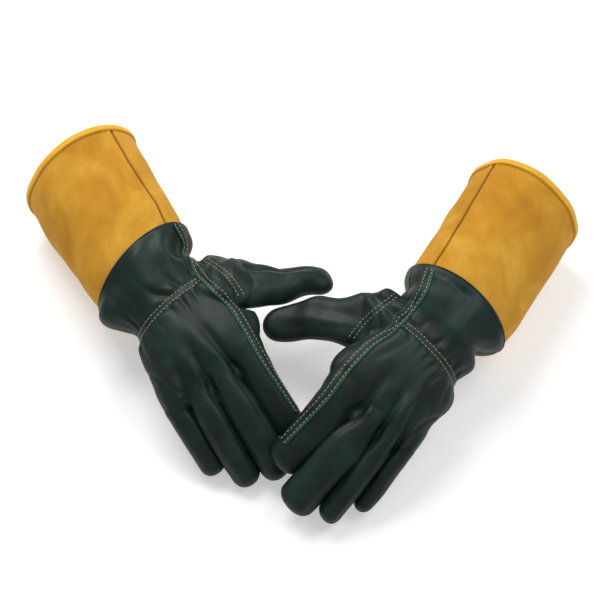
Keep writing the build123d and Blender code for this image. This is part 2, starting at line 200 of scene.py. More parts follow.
def smooth_curve(x, table, column):
    """A smooth curve through one column of a table whose first column increases."""
    xs = np.array([row[0] for row in table], float)
    ys = np.array([row[column] for row in table], float)
    slopes = np.gradient(ys, xs)
    x = np.clip(x, xs[0], xs[-1])
    i = np.clip(np.searchsorted(xs, x) - 1, 0, len(xs) - 2)
    span = xs[i + 1] - xs[i]
    t = (x - xs[i]) / span
    return ((2 * t ** 3 - 3 * t ** 2 + 1) * ys[i] + (t ** 3 - 2 * t ** 2 + t) * span * slopes[i]
            + (3 * t ** 2 - 2 * t ** 3) * ys[i + 1] + (t ** 3 - t ** 2) * span * slopes[i + 1])


def waves(points, wavelength, seed, count=24, stretch=(1, 1, 1)):
    """A smooth random field of about unit size, longer along the axes that stretch says."""
    rng = np.random.default_rng(seed)
    directions = rng.normal(size=(count, 3))
    directions /= np.linalg.norm(directions, axis=1)[:, None]
    frequencies = directions / (wavelength * rng.uniform(0.7, 1.4, count))[:, None]
    phases = rng.uniform(0, 2 * math.pi, count)
    angles = (points / np.array(stretch)) @ frequencies.T * 2 * math.pi + phases
    return np.sin(angles).sum(1) / math.sqrt(count / 2)


def unit(vectors):
    return vectors / np.maximum(np.linalg.norm(vectors, axis=-1, keepdims=True), 1e-9)


# ---------------------------------------------------------------- glove frames, from the joints

def glove_frame(side, glove):
    """(origin, axes, handed): where the glove's origin and axes lie in the row frame, in millimetres."""
    handed = -1 if side == "right" else 1
    local, row = [], []
    for name in DIGITS:
        local.append(digit_pivot(glove, name))
        row.append(JOINTS[f"{side}_{name}_bend"]["pos_m"])
    local.append((0, WRIST_HINGE, 0))
    row.append(JOINTS[f"{side}_wrist_bend"]["pos_m"])
    local = np.array(local, float) * (handed, 1, 1)
    row = np.array(row) / MM
    local_middle, row_middle = local.mean(0), row.mean(0)
    u, _, vt = np.linalg.svd((local - local_middle).T @ (row - row_middle))
    flip = np.diag([1, 1, np.sign(np.linalg.det(u @ vt))])
    turn = u @ flip @ vt
    axes = np.diag([handed, 1, 1]) @ turn
    origin = row_middle - local_middle @ turn
    error = np.abs(local @ turn + origin - row).max()
    if error > 0.5:
        raise ValueError(f"{side} glove: the joints are {error:.2f} mm from where the sizes say")
    return origin, axes, handed


def to_row(glove, points):
    """Points of the glove's frame in the row frame, in metres."""
    origin, axes, _ = glove["frame"]
    return (np.asarray(points, float) @ axes + origin) * MM


def digit_of(glove, name):
    """All that is known of one digit of this glove."""
    if name == "thumb":
        return dict(THUMB, base=glove["thumb_base"], slope=glove["thumb_slope"], taper=THUMB_TAPER,
                    spread=glove["thumb_spread"], twist=glove["thumb_twist"])
    slope = glove["index_slope"] if name == "index" else glove["slope"]
    return dict(FINGERS[name], slope=slope, spread=glove["spread"][name], taper=FINGER_TAPER, twist=0)


def digit_line(digit, distance):
    """Forward and up along the digit's curved centre line, and its downward slope, by distance."""
    first, last = np.radians(digit["slope"])
    bend = (last - first) / digit["length"]
    slope = first + bend * np.asarray(distance, float)
    return (np.sin(slope) - np.sin(first)) / bend, (np.cos(slope) - np.cos(first)) / bend, slope


def digit_axes(digit):
    """The digit's sideways and forward directions in the glove's frame."""
    spread = math.radians(digit["spread"])
    c, s = math.cos(spread), math.sin(spread)
    return np.array([c, -s, 0]), np.array([s, c, 0])


def digit_pivot(glove, name):
    digit = digit_of(glove, name)
    forward, up, _ = digit_line(digit, digit["hinge"])
    ahead = digit_axes(digit)[1]
    return np.array(digit["base"], float) + ahead * forward + np.array([0, 0, up])


def digit_coordinates(digit, points):
    """Each point's distance along the digit, and its sideways and outward offsets from the line."""
    side, ahead = digit_axes(digit)
    offset = points - np.array(digit["base"], float)
    across, forward, up = offset @ side, offset @ ahead, offset[:, 2]
    along = np.linspace(-40, digit["length"] + 12, 320)
    line_forward, line_up, slope = digit_line(digit, along)
    best = np.zeros(len(points), int)
    for start in range(0, len(points), 20000):
        part = slice(start, start + 20000)
        gap = (forward[part, None] - line_forward) ** 2 + (up[part, None] - line_up) ** 2
        best[part] = gap.argmin(1)
    forward, up = forward - line_forward[best], up - line_up[best]
    c, s = np.cos(slope[best]), np.sin(slope[best])
    return along[best] + (forward * c - up * s), across, forward * s + up * c


def digit_scale(digit, along):
    """How thick the digit is at this distance, as a share of its thickness at the base."""
    return 1 - (1 - digit["taper"]) * np.clip(along, 0, None) / digit["length"]


def digits_in(glove, points, zones, names=None):
    """For each digit: name, digit, which points are its own, and their along, across and outward places."""
    for name in names or DIGITS[1:]:
        digit = digit_of(glove, name)
        mine = zones == name
        yield (name, digit, mine, *digit_coordinates(digit, points[mine]))


# ---------------------------------------------------------------- where the glove is sewn and split

def reach_of(points):
    """How far points lie past the gathered wrist line, towards the fingertips."""
    lean = math.hypot(1, WRIST_LEAN)
    return (points[..., 1] - WRIST_LEAN * (points[..., 0] - WRIST_X)) / lean


def zones_of(glove, points):
    """The zone of each point: hand, sleeve or a digit's name."""
    zones = np.full(len(points), "hand", dtype=object)
    zones[-reach_of(points) > SLEEVE_SPLIT] = "sleeve"
    nearest = np.full(len(points), np.inf)
    for name in DIGITS:
        digit = digit_of(glove, name)
        side, ahead = digit_axes(digit)
        offset = points - np.array(digit["base"], float)
        forward, across = offset @ ahead, np.abs(offset @ side)
        split = THUMB_SPLIT if name == "thumb" else FINGER_SPLIT
        inside = forward > digit_line(digit, digit["hinge"])[0] - split
        if name == "thumb":
            inside &= across < THUMB_ROOM
        share = across / digit["half_width"]
        pick = inside & (share < nearest)
        if name == "index":
            # the thumb's root lies on the same side, before this place
            pick &= points[:, 1] > 60
        zones[pick] = name
        nearest[pick] = share[pick]
    return zones


def hang(glove, made, zone):
    """Puts a piece of the hand or cuff on its body. A piece of another zone only has its transform baked
    where it stands: the stretch over its joint with the hand is worked out but not used, and the piece is not
    hung on a body.
    """
    side = glove["side"]
    if zone in ("hand", "cuff"):
        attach(made, f"{side}_{zone}")
        return
    if zone == "sleeve":
        ahead = -np.array([-WRIST_LEAN, 1, 0]) / math.hypot(1, WRIST_LEAN)
        line = np.array([WRIST_X, 0, 0])
        low, high = SLEEVE_BEND
    else:
        digit = digit_of(glove, zone)
        ahead = digit_axes(digit)[1]
        line = np.array(digit["base"], float)
        hinge = float(digit_line(digit, digit["hinge"])[0])
        low, high = (hinge + end for end in (THUMB_BEND if zone == "thumb" else FINGER_BEND))
    start, end = to_row(glove, line + ahead * low), to_row(glove, line + ahead * high)
    tuple(start)
    tuple(end)
    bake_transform(made)


def arc_line(x, arc):
    """How far along the cuff an arched edge lies, at x across it."""
    distance, bulge, skew = arc
    radius = (CUFF_ARC_SPAN ** 2 + bulge ** 2) / (2 * bulge)
    turn = math.radians(skew)
    centre_x, centre_y = -radius * math.sin(turn), radius * math.cos(turn) - distance - bulge / 2
    return centre_y - np.sqrt(radius ** 2 - (x - centre_x) ** 2)


def cuff_turned(points, glove, share=1):
    """Points turned down about the wrist by a share of the cuff's pitch; a share of -1 turns them back."""
    pitch = math.radians(glove["cuff_pitch"]) * share
    y, z = points[..., 1], points[..., 2]
    return np.stack([points[..., 0], y * np.cos(pitch) - z * np.sin(pitch),
                     y * np.sin(pitch) + z * np.cos(pitch)], -1)


# ---------------------------------------------------------------- meshes

def grid_faces(rows, columns, closed=False, joined=False):
    """Faces over a grid of points: closed joins its last column to its first, joined its last row."""
    faces = []
    for i in range(rows if joined else rows - 1):
        below = (i + 1) % rows * columns
        for j in range(columns if closed else columns - 1):
            k = (j + 1) % columns
            faces.append((i * columns + j, i * columns + k, below + k, below + j))
    return np.array(faces)


def tube(rings):
    """A closed tube through rings of points, with both ends capped: (points, faces)."""
    count = len(rings[0])
    points = np.concatenate(rings + [rings[0].mean(0)[None], rings[-1].mean(0)[None]])
    faces = grid_faces(len(rings), count, closed=True).tolist()
    last_ring = (len(rings) - 1) * count
    first, last = len(rings) * count, len(rings) * count + 1
    for i in range(count):
        faces.append((first, (i + 1) % count, i))
        faces.append((last, last_ring + i, last_ring + (i + 1) % count))
    return points, faces


def oval_ring(centre, side, up, half_width, half_height, power=2.0, count=56):
    """A ring of points round an oval, which is squarer the more its power is over 2."""
    angle = np.arange(count) / count * 2 * math.pi
    c, s = np.cos(angle), np.sin(angle)
    u = np.sign(c) * np.abs(c) ** (2 / power) * half_width
    v = np.sign(s) * np.abs(s) ** (2 / power) * half_height
    return np.asarray(centre) + u[:, None] * np.asarray(side) + v[:, None] * np.asarray(up)


def hand_tube(glove):
    rings = []
    for along in np.arange(HAND_TABLE[0][0], HAND_TABLE[-1][0] + 0.1, HAND_STEP):
        shift, height, half_width, half_height = (smooth_curve(along, HAND_TABLE, c) for c in (1, 2, 3, 4))
        power = 2.0 + 0.25 * smooth_step(along, -45, -12)
        ring = oval_ring((shift, along, height), (1, 0, 0), (0, 0, 1), half_width, half_height, power)
        wrist = WRIST_LEAN * bump(along, 26) * (ring[:, 0] - WRIST_X)
        knuckle = CROTCH_LEAN * smooth_step(along, 58, 80) * (ring[:, 0] - 27)
        ring[:, 1] += wrist + knuckle
        if along < 0:
            ring = cuff_turned(ring, glove, smooth_step(-ring[:, 1], 0, CUFF_BEND_LENGTH))
        rings.append(ring)
    return tube(rings)


def digit_tube(digit, start, flare=0.0, flare_length=30.0, sunk=0.0, power=2.15):
    """A digit's outer skin. Behind its base it narrows by sunk, so that it starts inside the hand."""
    side, ahead = digit_axes(digit)
    tip_length = digit["half_width"] * digit["taper"] * 0.95
    body = np.arange(start, digit["length"] - tip_length, 2.5)
    dome = digit["length"] - tip_length + tip_length * np.sin(np.linspace(0, 0.985, 9) * math.pi / 2)
    rings = []
    for along in np.concatenate([body, dome]):
        forward, up, slope = digit_line(digit, along)
        centre = np.array(digit["base"], float) + ahead * forward + np.array([0, 0, up])
        normal = ahead * math.sin(slope) + np.array([0, 0, math.cos(slope)])
        twist = math.radians(digit["twist"])
        across = side * math.cos(twist) - normal * math.sin(twist)
        outward = side * math.sin(twist) + normal * math.cos(twist)
        scale = float(digit_scale(digit, along)) * (1 - sunk * max(0, along / start))
        into_tip = (along - digit["length"] + tip_length) / tip_length
        if into_tip > 0:
            scale *= math.sqrt(max(0.0, 1 - into_tip ** 2)) ** 0.9
        widen = 1 + flare * max(0, 1 - max(along, 0) / flare_length) ** 2
        rings.append(oval_ring(centre, across, outward, digit["half_width"] * scale * widen,
                               digit["half_height"] * scale, power))
    return tube(rings)


def mesh_object(name, points, faces, material=None, smooth=True, values=None):
    """A mesh object; values holds numbers for each point, by the name that a material asks for."""
    mesh = bpy.data.meshes.new(name)
    mesh.from_pydata([tuple(p) for p in points], [], [tuple(int(i) for i in f) for f in faces])
    mesh.update()
    if smooth:
        mesh.shade_smooth()
    for key, data in (values or {}).items():
        mesh.attributes.new(key, "FLOAT", "POINT").data.foreach_set("value", np.asarray(data, np.float32))
    made = bpy.data.objects.new(name, mesh)
    bpy.context.scene.collection.objects.link(made)
    if material:
        mesh.materials.append(material)
    return made


def remeshed(shells, voxel):
    """The outside of overlapping closed shells as one even mesh: (points, faces)."""
    points, faces, count = [], [], 0
    for shell_points, shell_faces in shells:
        points.append(shell_points)
        faces += [tuple(i + count for i in face) for face in shell_faces]
        count += len(shell_points)
    made = mesh_object("union", np.concatenate(points), faces)
    modifier = made.modifiers.new("remesh", "REMESH")
    modifier.mode = "VOXEL"
    modifier.voxel_size = voxel
    evaluated = made.evaluated_get(bpy.context.evaluated_depsgraph_get())
    mesh = evaluated.to_mesh()
    out_points = np.zeros(len(mesh.vertices) * 3)
    mesh.vertices.foreach_get("co", out_points)
    out_faces = np.array([tuple(polygon.vertices) for polygon in mesh.polygons if len(polygon.vertices) == 4])
    evaluated.to_mesh_clear()
    bpy.data.objects.remove(made)
    return out_points.reshape(-1, 3), out_faces


def edge_pairs(faces):
    """The two points of every side of every face, the lower number first."""
    pairs = np.concatenate([faces[:, [i, (i + 1) % 4]] for i in range(4)])
    pairs.sort(axis=1)
    return pairs


def relaxed(points, edges, times, strength=0.5):
    """Points moved towards the mean of their neighbours, shrinking undone by a second, opposite step."""
    degree = np.bincount(edges.ravel(), minlength=len(points)).astype(float)[:, None]
    for _ in range(times):
        for amount in (strength, -strength * 0.9):
            total = np.stack([np.bincount(edges[:, 0], points[edges[:, 1], k], len(points))
                              + np.bincount(edges[:, 1], points[edges[:, 0], k], len(points))
                              for k in range(3)], 1)
            points = points + amount * (total / degree - points)
    return points


def vertex_normals(points, faces):
    a, b, c, d = (points[faces[:, i]] for i in range(4))
    face_normals = np.cross(c - a, d - b)
    normals = np.stack([sum(np.bincount(faces[:, i], face_normals[:, k], len(points)) for i in range(4))
                        for k in range(3)], 1)
    return unit(normals)


def walled(points, normals, faces, wall):
    """A skin given an inner face and closed edges: (points, normals, faces, the skin's points used)."""
    used = np.unique(faces)
    index = np.full(len(points), -1)
    index[used] = np.arange(len(used))
    faces = index[faces]
    outer, outer_normals = points[used], normals[used]
    count = len(used)
    seen = dict.fromkeys((int(face[i]), int(face[(i + 1) % 4])) for face in faces for i in range(4))
    rim = [(a, b) for a, b in seen if (b, a) not in seen]
    rim_faces = np.array([(b, a, a + count, b + count) for a, b in rim]).reshape(-1, 4)
    all_points = np.concatenate([outer, outer - outer_normals * wall])
    all_normals = np.concatenate([outer_normals, -outer_normals])
    return all_points, all_normals, np.concatenate([faces, faces[:, ::-1] + count, rim_faces]), used


def glove_object(glove, name, points, faces, material, normals=None, values=None):
    """An object from points in the glove's frame, with its faces turned outwards."""
    faces = np.asarray(faces)
    if glove["frame"][2] < 0:
        faces = faces[:, ::-1]
    made = mesh_object(f"{glove['side']}_{name}", to_row(glove, points), faces, material, values=values)
    if normals is not None:
        turned = unit(normals @ glove["frame"][1])
        made.data.normals_split_custom_set_from_vertices([tuple(n) for n in turned])
    return made


def skin_object(glove, name, points, normals, faces, wall, material, **values):
    """A skin as an object with a wall's thickness; the values are given for each point of the skin."""
    shell, shell_normals, shell_faces, used = walled(points, normals, faces, wall)
    both = {key: np.tile(data[used], 2) for key, data in values.items()}
    return glove_object(glove, name, shell, shell_faces, material, shell_normals, both)


# ---------------------------------------------------------------- folds and seams of the leather

def gather_folds(points, back, seed):
    """Folds that run out both ways from the gathered wrist line, with round tops and narrow valleys."""
    reach = reach_of(points)
    # the way round the wrist, in millimetres
    across = np.degrees(np.arctan2(points[:, 2] / 25, (points[:, 0] - WRIST_X) / 38)) * 0.56
    total = np.zeros(len(points))
    middle = sum(GATHER_ROWS) / 2
    for sign, spacing, height, length in ((1, 10.5, 2.3, 19), (-1, 12.5, 2.6, 21)):
        away = sign * (reach - middle)
        flat = np.stack([across, reach * 0.6, np.full(len(points), 40.0 * sign)], 1)
        fold = across / spacing + 0.45 * waves(flat, 38, seed + sign)
        shape = 2 * np.abs(np.sin(math.pi * fold)) ** 0.85 - 1
        size = np.clip(0.7 + 0.4 * waves(flat * (1, 0.2, 1), 24, seed + 5 + sign), 0.15, 1.4)
        far = length * np.clip(1 + 0.45 * waves(flat * (1, 0, 1), 20, seed + 9 + sign), 0.45, 1.8)
        envelope = np.exp(-np.clip(away / far, 0, None) ** 1.5) * smooth_step(away, 1.5, 8)
        total += height * size * shape * envelope
    return total * back - 1.3 * back * bump(reach - middle, 4.5)


def valley(points, start, end, depth, width):
    """A valley that is deep and narrow at its start and fades out at its end, in the plan view."""
    start, end = np.array(start, float), np.array(end, float)
    run = end - start
    length = np.linalg.norm(run)
    offset = points[:, :2] - start
    t = offset @ run / length ** 2
    gap = (offset[:, 0] * run[1] - offset[:, 1] * run[0]) / length
    wide = width * (1 + 1.6 * np.clip(t, 0, 1))
    strength = smooth_step(t, -0.12, 0.03) * (1 - smooth_step(t, 0.25, 1.0))
    ridge = bump(gap - 2.2 * wide, wide * 1.3) * 0.35
    return -depth * strength * (bump(gap, wide) - ridge)


def leather_relief(glove, points, normals, zones):
    """How far the leather stands out along its normal: gathers, soft folds, creases and seam grooves."""
    seed = glove["seed"]
    x, y = points[:, 0], points[:, 1]
    back = smooth_step(normals[:, 2], -0.25, 0.35)
    reach = reach_of(points)
    fade = smooth_step(cuff_turned(points, glove, -1)[:, 1] - arc_line(x, glove["sleeve_arc"]), 1, 10)
    relief = gather_folds(points, 0.25 + 0.75 * back, seed)
    relief += 0.8 * waves(points, 46, seed + 20, stretch=(1, 1.6, 1)) * smooth_step(-y, -110, -70)
    relief += 1.5 * waves(points, 34, seed + 21, stretch=(1, 1.5, 1)) * smooth_step(-reach, 6, 20)
    # the sleeve hangs over the wrist on the little finger's side
    relief += glove["sleeve_puff"] * bump(y + 17, 11) * smooth_step(-x, 18, 44)
    # and folds in on the thumb side, next to the strip
    depth, middle = glove["sleeve_fold"]
    relief -= depth * bump(y - middle, 9) * smooth_step(x, 37, 50)
    crotch_depth = back * smooth_step(reach, 14, 30)
    for start, end, depth in glove["creases"]:
        relief += crotch_depth * valley(points, start, end, depth, 2.4)
    # the little finger is sewn on along a seam that runs from its crotch to the outer edge
    seam_gap = (y - (87 + (x + 22) * 2.1)) / math.hypot(1, 2.1)
    relief -= 0.9 * bump(seam_gap, 1.4) * smooth_step(-x, 21, 25) * back
    for name, digit, mine, along, across, outward in digits_in(glove, points, zones):
        share = across / (digit["half_width"] * digit_scale(digit, along) * (1 + FINGER_WIDEN))
        run = smooth_step(along, digit["hinge"] - 4, digit["hinge"] + 4) * (
            1 - smooth_step(along, digit["length"] - 9, digit["length"] - 4))
        sides = {"index": (-1,), "little": (1,)}.get(name, (-1, 1))
        groove = sum(bump(share - 0.72 * sign, 0.10) for sign in sides)
        knuckles = sum(bump(along - digit["length"] * part, 2.2) for part in (0.36, 0.62))
        own = -0.75 * groove * run
        own += 0.35 * waves(points[mine], 24, seed + 31, stretch=(1, 1.8, 1))
        own -= 1.2 * knuckles * smooth_step(-outward, 0, 6)
        relief[mine] += own
    for _, _, mine, along, across, outward in digits_in(glove, points, zones, ("thumb",)):
        own = 0.8 * waves(points[mine], 26, seed + 41, stretch=(1.8, 1, 1))
        run = smooth_step(along, 16, 36) * (1 - smooth_step(along, 74, 96)) * smooth_step(outward, -2, 4)
        for line, turn, depth, width in glove["thumb_folds"]:
            own -= depth * run * bump(across - line - turn * (along - 50), width)
        relief[mine] += own
    return relief * (0.15 + 0.85 * fade)


def widen_fingers(glove, points, zones):
    """Fingers made wider past the crotches, by their own amount to each side, so that they lie close."""
    points = points.copy()
    for name, digit, mine, along, across, outward in digits_in(glove, points, zones):
        hinge = digit["hinge"]
        share = across / digit["half_width"]
        little_side, thumb_side = glove["widen"][name]
        more = np.where(share > 0, thumb_side, little_side) * smooth_step(along, hinge - 2, 40)
        # the side walls bulge below the middle, so the gap between two fingers closes there
        low_bulge = {"index": share < 0, "little": share > 0}.get(name, np.full(len(share), True))
        more += 3.2 * low_bulge * smooth_step(-outward, -1, 7) * smooth_step(along, hinge, hinge + 9)
        grow = FINGER_WIDEN * digit["half_width"] * smooth_step(along, hinge - 2, hinge + 9)
        points[mine] += (share * (more + grow))[:, None] * digit_axes(digit)[0]
    return points


def reshaped(glove, points):
    """The hand, sleeve and thumb made fuller or drawn in where this glove is."""
    points = points.copy()
    x, y = points[:, 0].copy(), points[:, 1]
    amount, middle = glove["index_full"]
    points[:, 0] += amount * bump(y - middle, 30) * smooth_step(x, 24, 56) * smooth_step(points[:, 2], -30, 0)
    points[:, 0] += glove["little_tuck"] * smooth_step(y, 28, 66) * smooth_step(-x, -12, 46)
    points[:, 0] -= glove["sleeve_in"] * bump(y + 37, 13) * smooth_step(x, 24, 48)
    # the thumb is fuller on the side that looks back to the cuff
    thumb = digit_of(glove, "thumb")
    side = digit_axes(thumb)[0]
    along, across, _ = digit_coordinates(thumb, points)
    amount, start, end = glove["thumb_full"]
    full = amount * smooth_step(along, start, start + 20) * (1 - smooth_step(along, end / 2, end))
    full *= smooth_step(across, -6, 16)
    # and slimmer on the side that looks to the index finger
    low = smooth_step(along, -4, 22) * (1 - smooth_step(along, 50, 90)) * smooth_step(-across, 2, 18)
    full -= glove["thumb_low"] * low * (1 - smooth_step(-across, 22, 34))
    near = smooth_step(x, 40, 56) * smooth_step(y, -40, -20)
    return points + (full * near)[:, None] * side


def finger_webs(glove):
    """Short tubes in the crotches, so that the hand closes between neighbouring fingers."""
    shells = []
    for first, second in zip(DIGITS[1:-1], DIGITS[2:]):
        one, other = digit_of(glove, first), digit_of(glove, second)
        middle = (np.array(one["base"], float) + np.array(other["base"], float)) / 2
        side, ahead = (unit(a + b) for a, b in zip(digit_axes(one), digit_axes(other)))
        rings = []
        for along, size in WEB_RINGS:
            centre = middle + ahead * along - (0, 0, 3 + 0.3 * along)
            rings.append(oval_ring(centre, side, (0, 0, 1), WEB_RADIUS * size, WEB_RADIUS * size))
        shells.append(tube(rings))
    return shells


def body_mesh(glove):
    """The green glove from the sleeve's arched end to the fingertips, with its zones, normals and relief."""
    shells = [hand_tube(glove)]
    for name in DIGITS[1:]:
        shells.append(digit_tube(digit_of(glove, name), **FINGER_ROOT))
    shells += finger_webs(glove)
    thumb = digit_of(glove, "thumb")
    thumb["length"] += glove["thumb_longer"]
    shells.append(digit_tube(thumb, **THUMB_ROOT))
    points, faces = remeshed(shells, VOXEL)
    edges = np.unique(edge_pairs(faces), axis=0)
    points = relaxed(points, edges, 10, 0.6)
    zones = zones_of(glove, points)
    face_zones = zones_of(glove, points[faces].mean(1))
    relief = leather_relief(glove, points, vertex_normals(points, faces), zones)
    points = reshaped(glove, widen_fingers(glove, points, zones))
    points = relaxed(points + vertex_normals(points, faces) * relief[:, None], edges, 2, 0.5)
    flat = cuff_turned(points, glove, -1)
    past_edge = flat[:, 1] - arc_line(flat[:, 0], glove["sleeve_arc"])
    kept = (past_edge[faces] > -0.7).all(1)
    faces, face_zones = faces[kept], face_zones[kept]
    # the open edge is moved onto the arc
    sides, times = np.unique(edge_pairs(faces), axis=0, return_counts=True)
    rim = np.unique(sides[times == 1])
    flat[rim, 1] = arc_line(flat[rim, 0], glove["sleeve_arc"])
    points[rim] = cuff_turned(flat[rim], glove)
    return points, faces, face_zones, vertex_normals(points, faces), relief


# ---------------------------------------------------------------- things sewn on the surface

class Skin:
    """The glove's outer surface, for finding places and normals on it."""

    def __init__(self, points, faces):
        self.tree = BVHTree.FromPolygons([Vector(p) for p in points], [tuple(map(int, f)) for f in faces])

    def below(self, x, y):
        place, normal, _, _ = self.tree.ray_cast(Vector((x, y, 90)), Vector((0, 0, -1)))
        if place is None:
            return self.nearest((x, y, 5))
        return np.array(place), np.array(normal)

    def outwards(self, centre, direction):
        start = Vector(centre) + Vector(direction) * 90
        place, normal, _, _ = self.tree.ray_cast(start, -Vector(direction))
        return np.array(place), np.array(normal)

    def nearest(self, point):
        place, normal, _, _ = self.tree.find_nearest(Vector(point))
        return np.array(place), np.array(normal)


def lengths_along(points):
    return np.concatenate([[0], np.cumsum(np.linalg.norm(np.diff(points, axis=0), axis=1))])


def evenly(points, step):
    """Points at an even step along a line."""
    lengths = lengths_along(points)
    at = np.linspace(0, lengths[-1], max(2, int(round(lengths[-1] / step)) + 1))
    return np.stack([np.interp(at, lengths, points[:, k]) for k in range(points.shape[1])], 1)


def smooth_line(points, step):
    """An even line that goes smoothly through the given points."""
    points = np.array(points, float)
    lengths = lengths_along(points)
    table = [(length, *point) for length, point in zip(lengths, points)]
    at = np.linspace(0, lengths[-1], 200)
    return evenly(np.stack([smooth_curve(at, table, k + 1) for k in range(points.shape[1])], 1), step)


def softened(values, times):
    """Rows of values with their jitter along the first axis taken out."""
    for _ in range(times):
        inner = (values[:-2] + values[2:]) / 2
        values = np.concatenate([values[:1], values[1:-1] * 0.5 + inner * 0.5, values[-1:]])
    return values


def march(skin, line, steps, towards):
    """A grid over the surface: from each point of the line, steps to the given side of it."""
    tangents = unit(np.gradient(line, axis=0))
    places, normals = [], []
    for point, tangent in zip(line, tangents):
        place, normal = skin.nearest(point)
        row, row_normals, at = [place], [normal], 0.0
        for target in steps[1:]:
            across = np.cross(tangent, normal)
            across *= np.sign(across @ np.array(towards)) / max(np.linalg.norm(across), 1e-9)
            place, normal = skin.nearest(place + across * (target - at))
            at = target
            row.append(place)
            row_normals.append(normal)
        places.append(row)
        normals.append(row_normals)
    return softened(np.array(places), 3), unit(softened(np.array(normals), 8))


def facing(points, normals, faces):
    """The faces turned so that they look along the normals."""
    a, b, c, d = (points[faces[:, i]] for i in range(4))
    turn = (np.cross(c - a, d - b) * normals[faces[:, 0]]).sum(1)
    return faces[:, ::-1] if turn.sum() < 0 else faces


def capsules(centres, tangents, normals, length, radius):
    """Short round threads, one for each centre: (points, faces)."""
    sides = CAPSULE_SIDES
    last = len(CAPSULE_RINGS) - 1
    # each end is closed with two four-cornered faces
    caps = ((0, (0, 5, 4, 3)), (0, (3, 2, 1, 0)), (last, (0, 1, 2, 3)), (last, (3, 4, 5, 0)))
    points, faces = [], []
    for centre, tangent, normal in zip(centres, tangents, normals):
        across = unit(np.cross(tangent, normal))
        start = len(points)
        for place, share in CAPSULE_RINGS:
            for i in range(sides):
                angle = 2 * math.pi * i / sides
                points.append(centre + tangent * place * length
                              + (across * math.cos(angle) + normal * math.sin(angle)) * radius * share)
        faces += (grid_faces(len(CAPSULE_RINGS), sides, closed=True) + start).tolist()
        for ring, order in caps:
            faces.append([start + ring * sides + i for i in order])
    return np.array(points), np.array(faces)


def stitch_row(kind, line, normals, seed):
    """Thread dashes along a line: (centres, tangents, normals), each a little out of line."""
    rng = np.random.default_rng(seed)
    joined = evenly(np.concatenate([line, normals], 1), STITCHES[kind][0])
    centres, up = joined[:, :3], unit(joined[:, 3:])
    tangents = unit(np.gradient(centres, axis=0))
    tangents = unit(tangents + np.cross(tangents, up) * rng.normal(0, 0.05, len(centres))[:, None])
    return centres + np.cross(tangents, up) * rng.normal(0, 0.12, len(centres))[:, None], tangents, up


def sew(glove, kind, rows, material, replaces):
    """Rows of thread dashes, one piece for each zone they cross; replaces names a zone's CAD node."""
    _, length, radius = STITCHES[kind]
    centres, tangents, normals = (np.concatenate([row[k] for row in rows]) for k in range(3))
    zones = zones_of(glove, centres)
    for zone in sorted(set(zones)):
        mine = zones == zone
        points, faces = capsules(centres[mine], tangents[mine], normals[mine], length, radius)
        label = f"{kind}_stitches" if len(set(zones)) == 1 else f"{kind}_stitches_{zone}"
        piece = glove_object(glove, label, points, faces, material)
        hang(glove, piece, zone)
        if zone in replaces:
            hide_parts(f"{glove['side']}_{replaces[zone]}")


# ---------------------------------------------------------------- the suede cuff

def hidden_arc(glove):
    """The suede's upper end, which lies under the sleeve."""
    distance, bulge, skew = glove["sleeve_arc"]
    return distance - HIDDEN_EDGE, bulge, skew


def cuff_place(glove, angle, part, high_arc):
    """Points of the suede's outer surface, by angle round it and by the part of the way to the rim."""
    y = np.full(np.broadcast(angle, part).shape, -60.0)
    for _ in range(4):
        x = smooth_curve(y, CUFF_TABLE, 1) + smooth_curve(y, CUFF_TABLE, 3) * np.cos(angle)
        y = arc_line(x, hidden_arc(glove)) * (1 - part) + arc_line(x, high_arc) * part
    shift, height, half_width, half_height = (smooth_curve(y, CUFF_TABLE, c) for c in (1, 2, 3, 4))
    points = np.stack([shift + half_width * np.cos(angle), y, height + half_height * np.sin(angle)], -1)
    points[..., 0] -= glove["rim_tuck"] * smooth_step(points[..., 0], 36, 58) * smooth_step(-y, 120, 190)
    outward = unit(np.stack([np.cos(angle) / half_width, np.zeros_like(y), np.sin(angle) / half_height], -1))
    sag = 1.0 * waves(points.reshape(-1, 3), 75, glove["seed"] + 50, stretch=(1, 1.4, 1)).reshape(y.shape)
    sag += 0.25 * waves(points.reshape(-1, 3), 30, glove["seed"] + 51).reshape(y.shape)
    past_sleeve = arc_line(points[..., 0], glove["sleeve_arc"]) - y
    sag = sag * smooth_step(past_sleeve, 2, 30) - HIDDEN_SINK * smooth_step(-past_sleeve, -2, 2)
    return points + outward * sag[..., None], outward


def cuff_panel(glove, name, material):
    """The suede main panel or gusset, with its side edges turned in to the seams."""
    parts = np.linspace(0, 1, 84)
    start, end = arc_line(GUSSET_LINE, hidden_arc(glove)), arc_line(GUSSET_LINE, glove["rim_arc"])
    y = start * (1 - parts) + end * parts
    seam = np.arccos((GUSSET_LINE - smooth_curve(y, CUFF_TABLE, 1)) / smooth_curve(y, CUFF_TABLE, 3))
    near = np.array(PANEL_EDGE_STEPS) / CUFF_RADIUS
    is_main = name == "main_panel"
    rows = []
    for angle in seam:
        low, high = (angle, 2 * math.pi - angle) if is_main else (-angle, angle)
        middle = np.linspace(low + near[-1], high - near[-1], 132 if is_main else 44)[1:-1]
        rows.append(np.concatenate([low + near, middle, (high - near)[::-1]]))
    angles = np.array(rows)
    gap = np.minimum(angles - angles[:, :1], angles[:, -1:] - angles) * CUFF_RADIUS
    points, outward = cuff_place(glove, angles, parts[:, None] * np.ones_like(angles), glove["rim_arc"])
    dip = 1.5 * bump(gap, 1.3) - 0.35 * bump(gap - 3.4, 2.0)
    points = points - outward * dip[..., None]
    flat = points.reshape(-1, 3)
    faces = facing(flat, outward.reshape(-1, 3), grid_faces(*angles.shape))
    bent = cuff_turned(flat, glove)
    piece = skin_object(glove, f"suede_{name}", bent, vertex_normals(bent, faces), faces, SUEDE_WALL,
                        material, seam=bump(gap.ravel(), 1.1))
    hang(glove, piece, "cuff")
    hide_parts(f"{glove['side']}_cuff_{name}")


